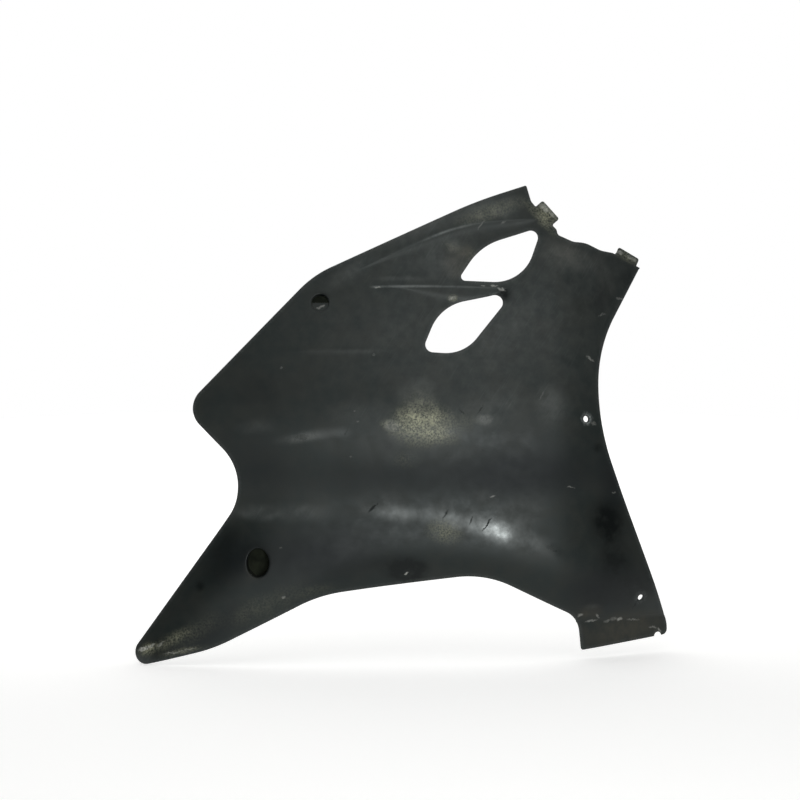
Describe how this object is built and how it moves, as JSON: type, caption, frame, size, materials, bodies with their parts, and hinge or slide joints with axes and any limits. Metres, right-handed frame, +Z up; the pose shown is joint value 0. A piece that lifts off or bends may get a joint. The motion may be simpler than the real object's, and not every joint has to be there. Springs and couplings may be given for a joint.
{
  "type": "fairing side panel",
  "caption": "Curved moulded side panel of a motorbike fairing, with leaf-shaped air outlets in scoops, screw wells, edge holes, a lap flange and edge tongues.",
  "frame": {"origin": "middle of the screw hole in the lower rear well, at the well's floor", "axes": "+X forward, +Z up, the visible face looks towards -Y, as the panel sits on the right-hand side of the bike"},
  "size_m": [0.6288, 0.117, 0.5538],
  "materials": {
    "moulded_skin": "worn satin black moulded plastic with dust, scuffs and scratches"
  },
  "bodies": {
    "root": {"side_panel": "moulded_skin"}
  },
  "joints": []
}
